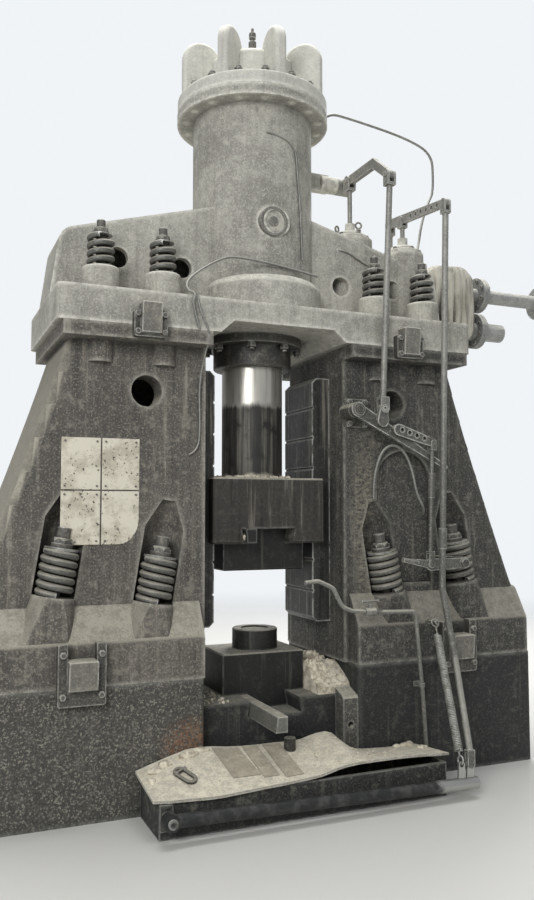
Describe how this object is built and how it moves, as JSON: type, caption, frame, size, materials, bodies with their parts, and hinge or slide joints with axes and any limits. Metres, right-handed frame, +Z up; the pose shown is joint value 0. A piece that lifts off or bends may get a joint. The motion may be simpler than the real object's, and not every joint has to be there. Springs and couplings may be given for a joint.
{
  "type": "pneumatic forging hammer",
  "caption": "Large double-frame pneumatic forging hammer with anvil, ram between guides, sprung frame bolts, upright cylinder, valve gear and treadle.",
  "frame": {"origin": "on the floor under the piston rod's axis, at the underside of the anvil", "axes": "+X to the right as seen from the front, +Y to the back, +Z up along the piston rod"},
  "size_m": [4.3, 1.6435, 4.852],
  "materials": {
    "anvil_iron": "scale covered, nearly black",
    "die_steel": "hot worked, dark scale",
    "stand_iron": "rough casting, dusty grey brown",
    "guide_iron": "machined and greasy",
    "cylinder_iron": "pale grey paint, dusty",
    "cover_iron": "pale grey paint, dirty",
    "gland_iron": "greasy",
    "bolt_steel": "dull, rusty",
    "packing": "greased rope",
    "spring_steel": "dull grey",
    "clamp_steel": "dull, scaled",
    "lever_steel": "worn bright steel",
    "treadle_steel": "polished by feet at one end",
    "pipe_steel": "dark, dusty",
    "lagging_cloth": "dusty cloth",
    "step_steel": "rusty, covered in scale",
    "ram_steel": "dark forged steel, streaked",
    "rod_steel": "polished, greasy below",
    "valve_brass": "dull"
  },
  "bodies": {
    "frame": {"anvil": "anvil_iron", "sow_block": "die_steel", "sow_block_key": "die_steel", "lower_die": "die_steel", "toe_block": "anvil_iron", "left_stand": "stand_iron", "right_stand": "stand_iron", "left_guide": "guide_iron", "right_guide": "guide_iron", "cylinder_bed": "cylinder_iron", "cylinder_cover": "cover_iron", "cover_nuts": "bolt_steel", "cover_plug": "bolt_steel", "gland": "gland_iron", "gland_packing": "packing", "gland_studs": "bolt_steel", "top_studs": "bolt_steel", "top_nuts": "bolt_steel", "top_springs": "spring_steel", "lower_studs": "bolt_steel", "lower_nuts": "bolt_steel", "lower_springs": "spring_steel", "upper_clamps": "clamp_steel", "lower_clamps": "clamp_steel", "clamp_keys": "clamp_steel", "clamp_bolts": "bolt_steel", "slide_valve_cover": "cylinder_iron", "throttle_cover": "cylinder_iron", "cover_bolts": "bolt_steel", "lever_bracket": "cylinder_iron", "throttle_post": "lever_steel", "inlet_pipe": "pipe_steel", "exhaust_pipe": "pipe_steel", "pipe_lagging": "lagging_cloth", "step_plate": "step_steel", "step_box": "step_steel", "treadle_bracket": "step_steel", "curved_lever_pedestal": "clamp_steel", "hand_lever_bracket": "clamp_steel", "blow_pipe": "pipe_steel", "blow_valve": "valve_brass", "spring_hook": "bolt_steel", "treadle_spring": "spring_steel"},
    "ram_body": {"ram": "ram_steel", "piston_rod": "rod_steel", "piston_rings": "guide_iron", "upper_die": "die_steel", "upper_die_key": "die_steel"},
    "curved_lever_body": {"curved_lever": "lever_steel"},
    "hand_link_body": {"hand_link": "lever_steel"},
    "hand_lever_body": {"hand_lever": "lever_steel"},
    "valve_lever_body": {"valve_lever": "lever_steel"},
    "valve_rod_body": {"valve_rod": "lever_steel"},
    "slide_valve_body": {"valve_link": "lever_steel", "slide_valve": "guide_iron"},
    "treadle_body": {"treadle_bar": "treadle_steel"},
    "throttle_lever_body": {"throttle_lever": "lever_steel"},
    "pull_rod_body": {"pull_rod": "lever_steel"},
    "throttle_spindle_body": {"throttle_spindle": "lever_steel"},
    "blow_handle_body": {"blow_valve_handle": "lever_steel"}
  },
  "joints": [
    {"name": "ram_slide", "type": "slide", "parent": "frame", "child": "ram_body", "axis": [0, 0, 1], "range_m": [-0.36, 0.6]},
    {"name": "curved_lever_pivot", "type": "hinge", "parent": "frame", "child": "curved_lever_body", "pos_m": [0.47, -0.548, 2.244], "axis": [0, 1, 0], "range_deg": [-6, 6]},
    {"name": "hand_link_pin", "type": "hinge", "parent": "curved_lever_body", "child": "hand_link_body", "pos_m": [0.992, -0.576, 2.053], "axis": [0, 1, 0], "range_deg": [-8, 8]},
    {"name": "hand_lever_pivot", "type": "hinge", "parent": "frame", "child": "hand_lever_body", "pos_m": [1.213, -0.576, 1.298], "axis": [0, 1, 0], "range_deg": [-13.2, 13.2]},
    {"name": "valve_lever_pivot", "type": "hinge", "parent": "frame", "child": "valve_lever_body", "pos_m": [0.7, 0.06, 3.89], "axis": [1, 0, 0], "range_deg": [-1.8, 1.8]},
    {"name": "valve_rod_pin", "type": "hinge", "parent": "valve_lever_body", "child": "valve_rod_body", "pos_m": [0.7, -0.578, 3.742], "axis": [1, 0, 0], "range_deg": [-2, 2]},
    {"name": "slide_valve_stroke", "type": "slide", "parent": "frame", "child": "slide_valve_body", "axis": [0, 0, 1], "range_m": [-0.0036, 0.0036]},
    {"name": "treadle_pivot", "type": "hinge", "parent": "frame", "child": "treadle_body", "pos_m": [-0.815, -0.965, 0.118], "axis": [0, 1, 0], "range_deg": [0, 1.15], "stiffness_Nm_per_rad": 20000, "springref_deg": -3.44, "deforming": ["treadle_spring"]},
    {"name": "throttle_lever_pivot", "type": "hinge", "parent": "frame", "child": "throttle_lever_body", "pos_m": [1.088, 0.048, 3.673], "axis": [1, 0, 0], "range_deg": [0, 3.2]},
    {"name": "pull_rod_pin", "type": "hinge", "parent": "throttle_lever_body", "child": "pull_rod_body", "pos_m": [1.088, -0.622, 3.604], "axis": [1, 0, 0], "range_deg": [-3.3, 0]},
    {"name": "throttle_stroke", "type": "slide", "parent": "frame", "child": "throttle_spindle_body", "axis": [0, 0, 1], "range_m": [-0.0092, 0]},
    {"name": "blow_valve_turn", "type": "hinge", "parent": "frame", "child": "blow_handle_body", "pos_m": [0.52, -0.6, 1.0264], "axis": [0, 0, 1], "range_deg": [0, 90]}
  ],
  "couplings": [
    {"joint": "hand_link_pin", "follows": "curved_lever_pivot", "ratio": -1.2645},
    {"joint": "hand_lever_pivot", "follows": "curved_lever_pivot", "ratio": -2.139},
    {"joint": "valve_lever_pivot", "follows": "curved_lever_pivot", "ratio": 0.2633},
    {"joint": "valve_rod_pin", "follows": "curved_lever_pivot", "ratio": -0.2895},
    {"joint": "slide_valve_stroke", "follows": "curved_lever_pivot", "m_per_rad": -0.0316},
    {"joint": "throttle_lever_pivot", "follows": "treadle_pivot", "ratio": 2.637},
    {"joint": "pull_rod_pin", "follows": "treadle_pivot", "ratio": -2.69},
    {"joint": "throttle_stroke", "follows": "treadle_pivot", "m_per_rad": -0.422}
  ]
}
